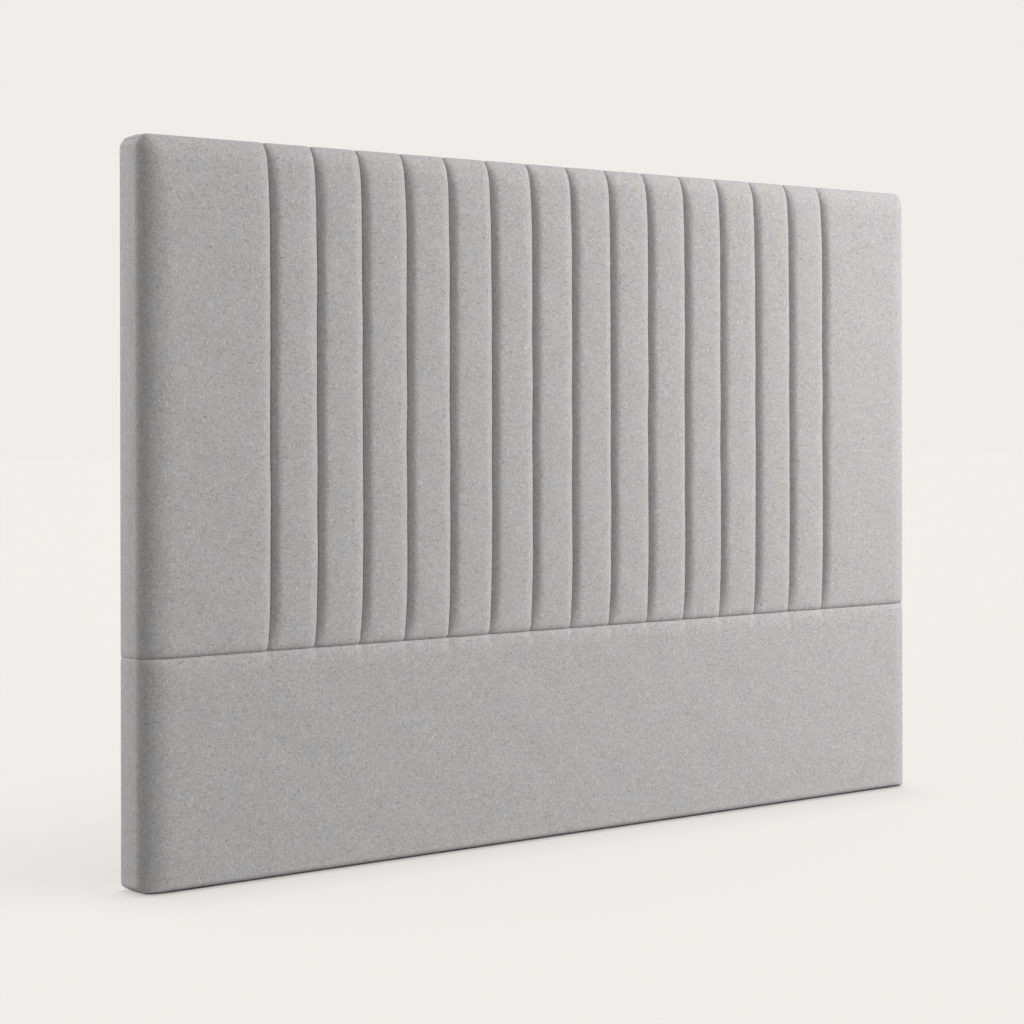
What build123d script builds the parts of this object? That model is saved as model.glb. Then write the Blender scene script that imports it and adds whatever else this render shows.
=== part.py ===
from build123d import *
from math import hypot, sqrt
import os

# An upholstered headboard that stands on the floor: a timber frame with a thin board on its front,
# foam in strips on that board, and a cloth cover sewn from one panel for each strip.
# Millimetres. X runs across the width, Y from the front to the back, Z up from the floor.
# The origin is on the floor, in the middle of the width and of the depth.

# Overall size
overall_width = 1600.0
overall_height = 1100.0
overall_depth = 76.0

# Cloth, foam edge and backing
cloth_thickness = 1.5
wadding_thickness = 5.5
dust_cover_thickness = 0.5
hem_width = 50.0
dust_cover_inset = 25.0
top_corner_radius = 19.0

# Channels between plain margins, and the lower band
channel_count = 14
margin_width = 219.0
band_seam_height = 341.0
upright_seam_depth = 10.0
upright_seam_shoulder = 30.0
band_seam_depth = 15.0
band_seam_shoulder = 55.0
side_round_depth = 20.0
side_round_width = 45.0
side_nose_radius = 12.0
top_round_depth = 21.0
top_round_height = 52.0
top_nose_radius = 13.0
bottom_round_depth = 10.0
bottom_round_height = 12.0
bottom_nose_radius = 8.0

# Timber frame and the board on its front
timber_width = 70.0
timber_depth = 44.0
panel_thickness = 4.0
corner_block_leg = 90.0

# Floor glides
glide_height = 5.0
glide_length = 60.0
glide_depth = 50.0
glide_corner_radius = 6.0
glide_front_overhang = 4.0
glide_places = 4
glide_end_distance = 100.0
glide_screw_spacing = 30.0

# Wall hangers
hanger_block_height = 140.0
hanger_plate_width = 50.0
hanger_plate_height = 84.0
hanger_plate_corner_radius = 5.0
keyhole_entry_radius = 6.0
keyhole_slot_radius = 3.2
keyhole_drop = 14.0
pocket_width = 24.0
pocket_height = 40.0
pocket_depth = 15.0
hanger_screw_inset = 9.0
dust_window_clearance = 2.0

# Screws: radius of the shank, radius of the countersunk head, its height, and the whole length.
# They are many and small, so each is a prism with a few sides.
frame_screw_sides = 8
small_screw_sides = 12
frame_screw_radius = 2.5
frame_screw_head_radius = 5.0
frame_screw_head_height = 3.0
frame_screw_length = 120.0
frame_screw_spacing = 22.0
cross_screw_offset = 28.0
small_screw_radius = 2.0
small_screw_head_radius = 4.0
small_screw_head_height = 1.6
small_screw_length = 25.0

overrun = 10.0

# Planes and outlines that follow from the sizes above
half_width = overall_width / 2
front_crest = -overall_depth / 2
back_plane = overall_depth / 2
hem_face = back_plane - dust_cover_thickness
frame_back = hem_face - cloth_thickness
frame_front = frame_back - timber_depth
panel_front = frame_front - panel_thickness
edge_build = cloth_thickness + wadding_thickness
cover_bottom = glide_height
frame_bottom = cover_bottom + cloth_thickness
frame_top = overall_height - edge_build
frame_half_width = half_width - edge_build
bottom_corner_radius = edge_build
channels_right = half_width - margin_width
channels_left = -channels_right
channel_width = (channels_right - channels_left) / channel_count
seam_places = [channels_left + index * channel_width for index in range(channel_count + 1)]


def box(x_from, x_to, y_from, y_to, z_from, z_to):
    """A box between two corners."""
    centre = ((x_from + x_to) / 2, (y_from + y_to) / 2, (z_from + z_to) / 2)
    return Pos(*centre) * Box(x_to - x_from, y_to - y_from, z_to - z_from)


def outline(inset, y_from, y_to):
    """The board's outline seen from the front, drawn in by the inset, as a slab between two depths."""
    left = -half_width + inset
    right = -left
    low = cover_bottom + inset
    high = overall_height - inset
    bottom_radius = max(bottom_corner_radius - inset, 0)
    top_radius = max(top_corner_radius - inset, 0)
    slab = box(left, right, y_from, y_to, low, high)
    upright_edges = slab.edges().filter_by(Axis.Y)
    if top_radius > 0:
        slab = fillet(upright_edges.group_by(Axis.Z)[-1], top_radius)
    if bottom_radius > 0:
        slab = fillet(slab.edges().filter_by(Axis.Y).group_by(Axis.Z)[0], bottom_radius)
    return slab


def arc_between(centre, radius, start, end):
    """The shorter arc about a centre from one point to another."""
    middle_x = (start[0] + end[0]) / 2 - centre[0]
    middle_y = (start[1] + end[1]) / 2 - centre[1]
    reach = radius / hypot(middle_x, middle_y)
    middle = (centre[0] + middle_x * reach, centre[1] + middle_y * reach)
    return ThreePointArc(start, middle, end)


def edge_arcs(place, inward, edge, inset):
    """The curves from the edge of a pad up to its crest, and the edge's first point.

    An edge is its width, its depth and its nose radius. With no nose it is a sewn seam, where one arc
    drops from the crest to the seam. With a nose it is an outer edge, where a small arc turns off the
    side of the board and meets a large one that ends level with the crest.
    """
    width, depth, nose = edge
    crest = front_crest + inset
    crest_point = (place + inward * width, crest)
    if nose == 0:
        radius = (width**2 + depth**2) / (2 * depth)
        centre = (place + inward * width, front_crest + radius)
        drop = sqrt((radius - inset) ** 2 - (width - inset) ** 2)
        first = (place + inward * inset, centre[1] - drop)
        return [arc_between(centre, radius - inset, first, crest_point)], first, crest_point
    radius = ((width - nose) ** 2 + depth**2 - nose**2) / (2 * (depth - nose))
    large_centre = (place + inward * width, front_crest + radius)
    small_centre = (place + inward * nose, front_crest + depth)
    across = small_centre[0] - large_centre[0]
    along = small_centre[1] - large_centre[1]
    reach = (radius - inset) / hypot(across, along)
    joint = (large_centre[0] + across * reach, large_centre[1] + along * reach)
    first = (place + inward * inset, small_centre[1])
    small = arc_between(small_centre, nose - inset, first, joint)
    large = arc_between(large_centre, radius - inset, joint, crest_point)
    return [small, large], first, crest_point


def crowned_face(low, high, low_edge, high_edge, inset):
    """A pad's section as a flat face: flat at the panel, crowned in front, drawn in at its edges."""
    low_arcs, low_first, low_crest = edge_arcs(low, 1, low_edge, inset)
    high_arcs, high_first, high_crest = edge_arcs(high, -1, high_edge, inset)
    low_foot = (low_first[0], panel_front)
    high_foot = (high_first[0], panel_front)
    crest_line = Line(low_crest, high_crest)
    sides = [Line(low_foot, low_first), Line(high_first, high_foot), Line(high_foot, low_foot)]
    return make_face(low_arcs + [crest_line] + high_arcs + sides)


upright_seam = (upright_seam_shoulder, upright_seam_depth, 0)
band_seam = (band_seam_shoulder, band_seam_depth, 0)
side_edge = (side_round_width, side_round_depth, side_nose_radius)
top_edge = (top_round_height, top_round_depth, top_nose_radius)
bottom_edge = (bottom_round_height, bottom_round_depth, bottom_nose_radius)


def pad(cell, inset):
    """The padded form in front of the panel: the plan section and the side section, both crowned."""
    left, right, low, high, left_edge, right_edge, low_edge, high_edge = cell
    plan = crowned_face(left, right, left_edge, right_edge, inset)
    across = Pos(0, 0, low) * extrude(plan, high - low, dir=(0, 0, 1))
    side = crowned_face(low, high, low_edge, high_edge, inset)
    # The side section is drawn as height against depth, so it is stood up with its depth along Y.
    side_plane = Plane(origin=(left, 0, 0), x_dir=(0, 0, 1), z_dir=(-1, 0, 0))
    along = extrude(side_plane * side, right - left, dir=(1, 0, 0))
    form = across & along
    if left == -half_width or right == half_width:
        form = form & outline(inset, front_crest, panel_front)
    return form.solid()


def cover(cell):
    """One cloth panel: a skin over its pad that turns in at the seams down to the panel, and at the
    board's outer edges runs on round the edge to a hem on the back of the frame."""
    left, right, low, high = cell[:4]
    skin = pad(cell, 0) - pad(cell, cloth_thickness)
    part_of_edge = box(left, right, front_crest, back_plane, low, high)
    rim = outline(0, panel_front, hem_face) - outline(cloth_thickness, panel_front, frame_back)
    opening = box(
        -half_width + hem_width,
        half_width - hem_width,
        frame_back,
        hem_face,
        cover_bottom + hem_width,
        overall_height - hem_width,
    )
    return skin + ((rim - opening) & part_of_edge)


def screw(sides, radius, head_radius, head_height, length):
    """A countersunk screw that points down, with the top of its head at the origin."""
    neck = Pos(0, 0, -head_height) * RegularPolygon(radius, sides)
    shank = extrude(neck, length - head_height, dir=(0, 0, -1))
    head = loft([neck, RegularPolygon(head_radius, sides)], ruled=True)
    return shank + head


def frame_screw():
    return screw(
        frame_screw_sides,
        frame_screw_radius,
        frame_screw_head_radius,
        frame_screw_head_height,
        frame_screw_length,
    )


def small_screw():
    return screw(
        small_screw_sides,
        small_screw_radius,
        small_screw_head_radius,
        small_screw_head_height,
        small_screw_length,
    )


# Frame: full-width rails, stiles between them, cross rails behind the band seam
frame_depth_middle = (frame_front + frame_back) / 2
stile_low = frame_bottom + timber_width
stile_high = frame_top - timber_width
stile_inner = frame_half_width - timber_width
inner_stile_outer = channels_right + timber_width / 2
inner_stile_inner = channels_right - timber_width / 2
cross_low = band_seam_height - timber_width / 2
cross_high = band_seam_height + timber_width / 2
side_cross_low = band_seam_height - timber_depth / 2
side_cross_high = band_seam_height + timber_depth / 2


def timber(x_from, x_to, z_from, z_to):
    return box(x_from, x_to, frame_front, frame_back, z_from, z_to)


def board_outline(y_from, y_to, z_from):
    """The timber's outline with its rounded upper corners, between two depths, up from a height."""
    slab = box(-frame_half_width, frame_half_width, y_from, y_to, z_from, frame_top)
    upper_corners = slab.edges().filter_by(Axis.Y).group_by(Axis.Z)[-1]
    return fillet(upper_corners, top_corner_radius - edge_build)


nodes = {}
nodes["top_rail"] = board_outline(frame_front, frame_back, stile_high)
nodes["bottom_rail"] = timber(-frame_half_width, frame_half_width, frame_bottom, stile_low)
nodes["left_stile"] = timber(-frame_half_width, -stile_inner, stile_low, stile_high)
nodes["right_stile"] = timber(stile_inner, frame_half_width, stile_low, stile_high)
nodes["inner_stile_left"] = timber(-inner_stile_outer, -inner_stile_inner, stile_low, stile_high)
nodes["inner_stile_right"] = timber(inner_stile_inner, inner_stile_outer, stile_low, stile_high)
nodes["cross_rail_centre"] = timber(-inner_stile_inner, inner_stile_inner, cross_low, cross_high)
side_rail = timber(inner_stile_outer, stile_inner, side_cross_low, side_cross_high)
nodes["cross_rail_left"] = mirror(side_rail, about=Plane.YZ)
nodes["cross_rail_right"] = side_rail

# Frame screws: two at each joint, through the rails into the stiles and through the stiles into
# the cross rails. The side cross rails are narrower than the centre one, so the heads of the centre
# rail's screws stay clear above and below them.
stile_middles = [
    -(frame_half_width + stile_inner) / 2,
    -channels_right,
    channels_right,
    (frame_half_width + stile_inner) / 2,
]
frame_screws = []
for place in stile_middles:
    for side in (-1, 1):
        x_place = place + side * frame_screw_spacing / 2
        down = Pos(x_place, frame_depth_middle, frame_top) * frame_screw()
        up = Pos(x_place, frame_depth_middle, frame_bottom) * Rot(180, 0, 0) * frame_screw()
        frame_screws += [down, up]
for turn, sign in ((90, -1), (-90, 1)):
    for side in (-1, 1):
        for start, height in (
            (frame_half_width, band_seam_height + side * frame_screw_spacing / 2),
            (inner_stile_outer, band_seam_height + side * cross_screw_offset),
        ):
            inward = Pos(sign * start, frame_depth_middle, height) * Rot(0, -turn, 0)
            frame_screws.append(inward * frame_screw())
        outward = Pos(sign * inner_stile_inner, frame_depth_middle, band_seam_height)
        lift = Pos(0, side * frame_screw_spacing / 2, 0)
        frame_screws.append(outward * lift * Rot(0, turn, 0) * frame_screw())
nodes["frame_screws"] = Compound(children=[piece.solid() for piece in frame_screws])

# Corner blocks in the two lower corners
for name, sign in (("corner_block_left", -1), ("corner_block_right", 1)):
    corner = (sign * stile_inner, stile_low)
    leg_x = (sign * (stile_inner - corner_block_leg), stile_low)
    leg_z = (sign * stile_inner, stile_low + corner_block_leg)
    triangle = make_face(Polyline(corner, leg_x, leg_z, close=True))
    wall = Plane(origin=(0, frame_back, 0), x_dir=(1, 0, 0), z_dir=(0, -1, 0))
    nodes[name] = extrude(wall * triangle, timber_depth, dir=(0, -1, 0))

# The board on the front of the frame
nodes["front_panel"] = board_outline(panel_front, frame_front, frame_bottom)

# Edge wadding: two straight side strips and a top strip that turns both corners
strip_top = overall_height - top_corner_radius
ring = outline(cloth_thickness, panel_front, frame_back) - outline(
    edge_build, panel_front, frame_back
)
left_side = box(-half_width, -frame_half_width, panel_front, frame_back, cover_bottom, strip_top)
nodes["edge_wadding_left"] = ring & left_side
nodes["edge_wadding_right"] = ring & mirror(left_side, about=Plane.YZ)
nodes["edge_wadding_top"] = ring & box(
    -half_width, half_width, panel_front, frame_back, strip_top, overall_height
)

# Wall hangers: a timber block across each side bay under the top rail, with a routed pocket, and a
# steel keyhole plate
block_middle = (inner_stile_outer + stile_inner) / 2
hanger_block_width = stile_inner - inner_stile_outer
block_low = stile_high - hanger_block_height
keyhole_height = stile_high - hanger_block_height / 2 - keyhole_drop / 2
plate_middle_height = keyhole_height + keyhole_drop / 2
hanger_screws = []
dust_windows = []
for name, sign in (("left", -1), ("right", 1)):
    middle = sign * block_middle
    block = timber(
        middle - hanger_block_width / 2, middle + hanger_block_width / 2, block_low, stile_high
    )
    pocket = Pos(middle, frame_back, plate_middle_height) * Box(
        pocket_width, 2 * pocket_depth, pocket_height
    )
    plate = Pos(middle, (frame_back + back_plane) / 2, plate_middle_height) * Box(
        hanger_plate_width, back_plane - frame_back, hanger_plate_height
    )
    plate = fillet(plate.edges().filter_by(Axis.Y), hanger_plate_corner_radius)
    entry = Pos(middle, frame_back, keyhole_height) * Rot(90, 0, 0) * Cylinder(
        keyhole_entry_radius, 2 * overrun
    )
    slot_end = Pos(middle, frame_back, keyhole_height + keyhole_drop) * Rot(90, 0, 0) * Cylinder(
        keyhole_slot_radius, 2 * overrun
    )
    slot = Pos(middle, frame_back, plate_middle_height) * Box(
        2 * keyhole_slot_radius, 2 * overrun, keyhole_drop
    )
    screws = []
    for side in (-1, 1):
        for end in (-1, 1):
            place = Pos(
                middle + side * (hanger_plate_width / 2 - hanger_screw_inset),
                back_plane,
                plate_middle_height + end * (hanger_plate_height / 2 - hanger_screw_inset),
            )
            screws.append((place * Rot(-90, 0, 0) * small_screw()).solid())
    nodes[f"hanger_block_{name}"] = block - pocket - screws
    nodes[f"hanger_plate_{name}"] = plate - entry - slot - slot_end - screws
    hanger_screws += screws
    dust_windows.append(
        Pos(middle, back_plane, plate_middle_height)
        * Box(
            hanger_plate_width + 2 * dust_window_clearance,
            2 * overrun,
            hanger_plate_height + 2 * dust_window_clearance,
        )
    )
nodes["hanger_screws"] = Compound(children=hanger_screws)

# Dust cover: a thin sheet over the open back, cut out round the hanger plates
sheet = box(
    -half_width + dust_cover_inset,
    half_width - dust_cover_inset,
    hem_face,
    back_plane,
    cover_bottom + dust_cover_inset,
    overall_height - dust_cover_inset,
)
nodes["dust_cover"] = sheet - dust_windows

# Floor glides: four flat pads screwed up into the bottom rail
glide_front = panel_front - glide_front_overhang
glide_middle_depth = glide_front + glide_depth / 2
glide_reach = half_width - glide_end_distance
glide_step = 2 * glide_reach / (glide_places - 1)
glides = []
glide_screws = []
for index in range(glide_places):
    glide_x = -glide_reach + index * glide_step
    glide = Pos(glide_x, glide_middle_depth, glide_height / 2) * Box(
        glide_length, glide_depth, glide_height
    )
    glide = fillet(glide.edges().filter_by(Axis.Z), glide_corner_radius)
    pair = []
    for side in (-1, 1):
        place = Pos(glide_x + side * glide_screw_spacing / 2, frame_depth_middle, 0)
        pair.append((place * Rot(180, 0, 0) * small_screw()).solid())
    glides.append((glide - pair).solid())
    glide_screws += pair
nodes["floor_glides"] = Compound(children=glides)
nodes["glide_screws"] = Compound(children=glide_screws)

# Foam pads and cloth covers, one of each for every cell between the seams
cells = {
    "margin_left": (
        -half_width, channels_left, band_seam_height, overall_height,
        side_edge, upright_seam, band_seam, top_edge,
    ),
    "margin_right": (
        channels_right, half_width, band_seam_height, overall_height,
        upright_seam, side_edge, band_seam, top_edge,
    ),
    "lower_band": (
        -half_width, half_width, cover_bottom, band_seam_height,
        side_edge, side_edge, bottom_edge, band_seam,
    ),
}
for index in range(channel_count):
    cells[f"channel_{index + 1:02d}"] = (
        seam_places[index], seam_places[index + 1], band_seam_height, overall_height,
        upright_seam, upright_seam, band_seam, top_edge,
    )
for name, cell in cells.items():
    nodes[f"foam_{name}"] = pad(cell, cloth_thickness)
    nodes[f"cover_{name}"] = cover(cell)
nodes["cover_lower_band"] = nodes["cover_lower_band"] - glide_screws

# The screws' holes in the timber: each piece is cut only by the screws that reach it
drilled = [
    "top_rail", "bottom_rail", "left_stile", "right_stile", "inner_stile_left",
    "inner_stile_right", "cross_rail_left", "cross_rail_centre", "cross_rail_right",
]
drills = list(nodes["frame_screws"].solids()) + glide_screws
for name in drilled:
    piece = nodes[name]
    around = piece.bounding_box()
    for drill in drills:
        reach = drill.bounding_box()
        apart = (
            reach.min.X > around.max.X
            or reach.max.X < around.min.X
            or reach.min.Z > around.max.Z
            or reach.max.Z < around.min.Z
        )
        if not apart:
            piece = piece - drill
    nodes[name] = piece

os.makedirs("parts", exist_ok=True)
for name, piece in nodes.items():
    export_step(piece, f"parts/{name}.step")
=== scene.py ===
# %% [markdown]
# # An upholstered headboard
# A headboard of this kind is a timber frame with a thin board on its front. Foam lies on the board,
# and a cloth cover is sewn from panels and pulled over it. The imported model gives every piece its
# real place and size. This file gives each one its finish, and makes the soft ones again as soft
# surfaces, because the cloth is what the eye sees first.

import bpy
import numpy as np
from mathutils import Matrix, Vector


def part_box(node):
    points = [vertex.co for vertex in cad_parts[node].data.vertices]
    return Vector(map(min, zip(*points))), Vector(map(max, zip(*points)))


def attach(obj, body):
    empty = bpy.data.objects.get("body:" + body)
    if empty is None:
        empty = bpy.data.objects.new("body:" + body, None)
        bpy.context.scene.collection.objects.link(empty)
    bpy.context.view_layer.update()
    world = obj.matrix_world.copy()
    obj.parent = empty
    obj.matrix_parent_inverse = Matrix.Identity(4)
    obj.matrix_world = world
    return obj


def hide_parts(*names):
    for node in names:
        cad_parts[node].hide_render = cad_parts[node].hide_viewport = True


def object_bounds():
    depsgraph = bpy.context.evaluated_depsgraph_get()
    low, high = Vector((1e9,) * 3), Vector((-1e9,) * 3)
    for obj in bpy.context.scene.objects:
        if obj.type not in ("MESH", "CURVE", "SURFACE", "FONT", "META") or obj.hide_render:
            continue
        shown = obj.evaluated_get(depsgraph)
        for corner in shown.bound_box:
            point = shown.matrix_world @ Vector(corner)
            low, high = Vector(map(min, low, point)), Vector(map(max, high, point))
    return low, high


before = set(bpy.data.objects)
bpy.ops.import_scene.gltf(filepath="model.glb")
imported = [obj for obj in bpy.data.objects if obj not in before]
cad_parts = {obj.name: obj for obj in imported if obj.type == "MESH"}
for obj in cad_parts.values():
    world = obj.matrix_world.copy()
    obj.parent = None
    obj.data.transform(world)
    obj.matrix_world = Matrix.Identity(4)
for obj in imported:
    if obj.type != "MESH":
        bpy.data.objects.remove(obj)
cad_box = [list(map(float, corner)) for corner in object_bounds()]
print("nodes:", len(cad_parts))
print("size in metres:", [round(high - low, 3) for low, high in zip(*cad_box)])

# %% [markdown]
# ## The camera
# The picture looks along the board from its left end, and its upright lines stay parallel. A camera
# that is turned only about the upright axis gives that. Its lens and its place follow from how the
# equal channels get narrower towards the far end. The level line of sight lies above the middle of
# the picture, and a small shift of the lens takes that up without tilting the camera. The picture
# also leans by a tenth of a degree, so the camera gets that roll.

# %% Camera
MM = 0.001
PICTURE_WIDTH = 1024
SENSOR_WIDTH = 36
FOCAL_LENGTH_IN_PICTURE = 2308.6
HORIZON_ROW = 411.0
CAMERA_PLACE = (-2.405, -2.975, 0.698)
CAMERA_TURN = np.radians(37.705)
CAMERA_ROLL = np.radians(0.11)
CAMERA_SIGHT = (0.05, 80)


def make_camera():
    """A level camera, turned to its right, with the horizon moved up by the shift of the lens."""
    data = bpy.data.cameras.new("camera")
    data.sensor_width = SENSOR_WIDTH
    data.lens = SENSOR_WIDTH * FOCAL_LENGTH_IN_PICTURE / PICTURE_WIDTH
    data.shift_y = (HORIZON_ROW - PICTURE_WIDTH / 2) / PICTURE_WIDTH
    data.clip_start, data.clip_end = CAMERA_SIGHT
    camera = bpy.data.objects.new("camera", data)
    camera.location = CAMERA_PLACE
    camera.rotation_euler = (np.pi / 2, CAMERA_ROLL, -CAMERA_TURN)
    bpy.context.scene.collection.objects.link(camera)
    bpy.context.scene.camera = camera
    return camera


camera = make_camera()
print("lens in mm:", round(camera.data.lens, 1), "shift:", round(camera.data.shift_y, 4))

# %% [markdown]
# ## Sizes from the frame
# Every panel of the cover has a node of its own, so its two seams, its top and its bottom are read
# from there. Only the soft sizes are new here, such as how deep a seam draws in. They come from
# how far a seam line leaves the straight, and from how wide its shade is.

# %% Places
CHANNELS = [f"channel_{index:02d}" for index in range(1, 15)]
PANELS = ["margin_left"] + CHANNELS + ["margin_right", "lower_band"]

low_corner, high_corner = np.array(cad_box)
FRONT = low_corner[1]
SIDE = high_corner[0]
TOP = high_corner[2]
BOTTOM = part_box("cover_lower_band")[0][2]
BAND_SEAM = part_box("cover_channel_01")[0][2]
SEAMS = [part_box("cover_" + name)[0][0] for name in CHANNELS] + [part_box("cover_channel_14")[1][0]]
PANEL_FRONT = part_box("front_panel")[0][1]
FRAME_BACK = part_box("top_rail")[1][1]
HEM_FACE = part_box("cover_lower_band")[1][1]
BACK = high_corner[1]
CLOTH = HEM_FACE - FRAME_BACK
CHANNEL_WIDTH = SEAMS[1] - SEAMS[0]
print("channel width in mm:", round(CHANNEL_WIDTH / MM, 1), "cloth in mm:", round(CLOTH / MM, 2))

# %% Sizes of the upright seams
# A pair is a size and its reach, the distance over which it fades or ends.
SEAM_DEPTH = 10.5 * MM
SEAM_SHOULDER = 15.5 * MM
FULLER_SIDE = 1.6
CROWN_HALF = CHANNEL_WIDTH / 2
STEEP_SHARE = 0.8
NIP = (1.9 * MM, 4.0 * MM)
SEAM_TOP_EASE = (0.82, 32 * MM)
SEAM_LOW_EASE = (0.6, 18 * MM)
SEAM_TOP_LEAN = (8 * MM, 45 * MM)
SEAM_LOW_LEAN = (10 * MM, 33 * MM)
STRAY_REACH = 24 * MM
print("the seams draw in by", round(SEAM_DEPTH / MM, 1), "of", round((BACK - FRONT) / MM), "mm")

# %% Sizes of the level seam, the edges and the cut
# A rounded edge is given by its width and its depth, and any other pair as before.
BAND_ABOVE = (3.4 * MM, 16 * MM)
BAND_BELOW = (3.4 * MM, 32 * MM)
BAND_PULL_REACH = 16 * MM
SIDE_ROUND = (50 * MM, 31 * MM)
TOP_ROUND = (40 * MM, 14 * MM)
TOP_LEAN = (8 * MM, 45 * MM)
BOTTOM_ROUND = (8 * MM, 6 * MM)
CROWDED_EDGE = 44 * MM
BLEND_POWER = 2.4
TOP_CORNER = 19 * MM
BOTTOM_CORNER = 8 * MM
EDGE_NOTCH = (1.2 * MM, 9 * MM)
HEM = 50 * MM

# %% [markdown]
# ## The form of the padded front
# Foam under tight cloth is flat where nothing holds it down, and it falls away where a seam or an
# edge pulls. So the front is one height field: how far each point lies behind the front plane. An
# edge is a quarter ellipse. A seam is a steep curve that eases into a low crown, and its last few
# millimetres are a nip, where the cloth turns in sharply. The seam's allowances are pressed to the
# left behind the cloth, so the channel on that side has the fuller edge. A seam is shallower at
# both ends, where the cloth is tight across it. Sculpting or a cloth simulation could make the
# same form, but a formula gives the same seam to both panels that meet there, and every channel
# comes out alike, as a sewing machine makes them.

# %% Depth of edges and seams


def ellipse_drop(distance, size):
    """A quarter ellipse: nothing beyond its width from the edge, its full depth at the edge."""
    width, depth = size
    share = np.clip(1 - distance / width, 0, 1)
    return depth * (1 - np.sqrt(1 - share**2))


def fading(distance, size):
    """A size that fades with distance: times e to the power of minus the distance in reaches."""
    full, reach = size
    return full * np.exp(-distance / reach)


def ending(distance, size, power):
    """A size that ends at its reach: times the share that is left of the reach, to a power."""
    full, reach = size
    return full * np.clip(1 - distance / reach, 0, 1) ** power


def top_drop(distance):
    """The top edge: an ellipse at the edge, and a lean that fades away down the board."""
    return ellipse_drop(distance, TOP_ROUND) + fading(distance, TOP_LEAN)


def seam_share(distance, shoulder=SEAM_SHOULDER):
    """Across an upright seam: a steep flank close to it, and a low crown half a channel wide.
    The flank keeps its slope at first and then rounds off: one, less the share of the shoulder,
    less a sine of that share."""
    share = np.clip(distance / shoulder, 0, 1)
    steep = 1 - share - np.sin(np.pi * share) / np.pi
    return STEEP_SHARE * steep + ending(distance, (1 - STEEP_SHARE, CROWN_HALF), 2)


def seam_draw(from_top, from_band):
    """How much deeper than the crest of the pad an upright seam lies, by the distance from its
    two ends: its own depth times what two fading losses leave of it, one at each end."""
    top_part = 1 - fading(from_top, SEAM_TOP_EASE)
    return SEAM_DEPTH * top_part * (1 - fading(from_band, SEAM_LOW_EASE))


band_pull = float(seam_draw(TOP - BAND_SEAM, 0.0))
half_way = (TOP - BAND_SEAM) / 2
print("seam depth half-way up in mm:", round(float(seam_draw(half_way, half_way)) / MM, 2))
print("pull on the band at a seam's end in mm:", round(band_pull / MM, 2))

# %% [markdown]
# ## Slight unevenness
# A sewn cover is never dead straight. Each seam strays by a few tenths of a millimetre and leans to
# the left near its ends. Its shoulder is a little wider here and narrower there, and short puckers
# run out from the stitches. Sums of sine waves with fixed starting points give all that. They are
# the same on each run, and two panels that share a seam read the same waves.

# %% Unevenness
# The waves of a seam are pairs of their quickness and their strength.
SWELL = 0.35 * MM
SWELL_EASE = 30 * MM
SWELL_WAVES = 7
SWELLS_PER_METRE = (2.0, 8.0)
STRAY = 0.5 * MM
STRAY_WAVES = ((9, 1.0), (23, 0.6), (61, 0.3))
SHOULDER_CHANGE = 0.07
SHOULDER_WAVES = ((31, 1.0), (83, 0.7))
PUCKER = 0.22 * MM
PUCKER_LENGTH = 17 * MM
PUCKER_REACH = 13 * MM
PUCKER_EASE = 20 * MM
random = np.random.default_rng(1412)
both_ways = (SWELL_WAVES, 2)
swell_starts = random.uniform(0, 2 * np.pi, SWELL_WAVES)
swell_counts = random.uniform(*SWELLS_PER_METRE, both_ways) * random.choice([-1, 1], both_ways)
seam_starts = random.uniform(0, 2 * np.pi, (len(SEAMS) + 1, 6))


def swell(x, z):
    """Low hills over the whole board: sine waves that run in several directions."""
    total = np.zeros(np.broadcast(x, z).shape)
    for start, (count_x, count_z) in zip(swell_starts, swell_counts):
        total = total + np.sin(2 * np.pi * (count_x * x + count_z * z) + start)
    return SWELL * total / np.sqrt(len(swell_starts))


def added_waves(waves, along, starts):
    """A sum of sine waves along a seam, each by its quickness, its strength and its start."""
    pairs = zip(waves, starts)
    return sum(strength * np.sin(quick * along + start) for (quick, strength), start in pairs)


def stray(seam, along):
    """How far a seam leaves the straight line: two slow waves and a quicker one, and a lean to
    the left near both ends, because all seam allowances were pressed to that side."""
    waves = STRAY * added_waves(STRAY_WAVES, along, seam_starts[seam, :3]) / 1.4
    low_lean = fading(np.abs(along - BAND_SEAM), SEAM_LOW_LEAN)
    return waves - low_lean - fading(np.abs(TOP - along), SEAM_TOP_LEAN)


def shoulder(seam, along):
    """The width of a seam's shoulder, which varies by about a tenth along the seam."""
    waves = added_waves(SHOULDER_WAVES, along, seam_starts[seam, 3:5])
    return SEAM_SHOULDER * (1 + SHOULDER_CHANGE * waves)


def puckers(seam, along, distance):
    """Short ripples beside a seam: a sine along it whose phase wanders, times a slow sine that
    is never negative, times a bell curve across the seam."""
    start = seam_starts[seam]
    slow = 0.5 + 0.5 * np.sin(17 * along + start[5])
    waves = np.sin(2 * np.pi * along / PUCKER_LENGTH + 2.5 * np.sin(13 * along + start[0]))
    return PUCKER * slow * waves * np.exp(-((distance / PUCKER_REACH) ** 2))


largest = float(np.abs(swell(*np.mgrid[-1:1:99j, 0:1:99j])).max())
print("largest swell in mm:", round(largest / MM, 2))

# %% [markdown]
# ## The darts at the upper corners
# Cloth that covers a flat front and a flat edge has too much stuff at an outer corner. The maker
# takes it up in a dart, a short seam along the mitre from the back to the front. The top's cloth
# laps over the side's there, so the dart shows as a small step with a shadow under it, and its end
# throws a few small folds. In grid terms the mitre is the line where the distances from the side
# and from the top are equal, so both edges crowd their grid lines alike.

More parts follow.
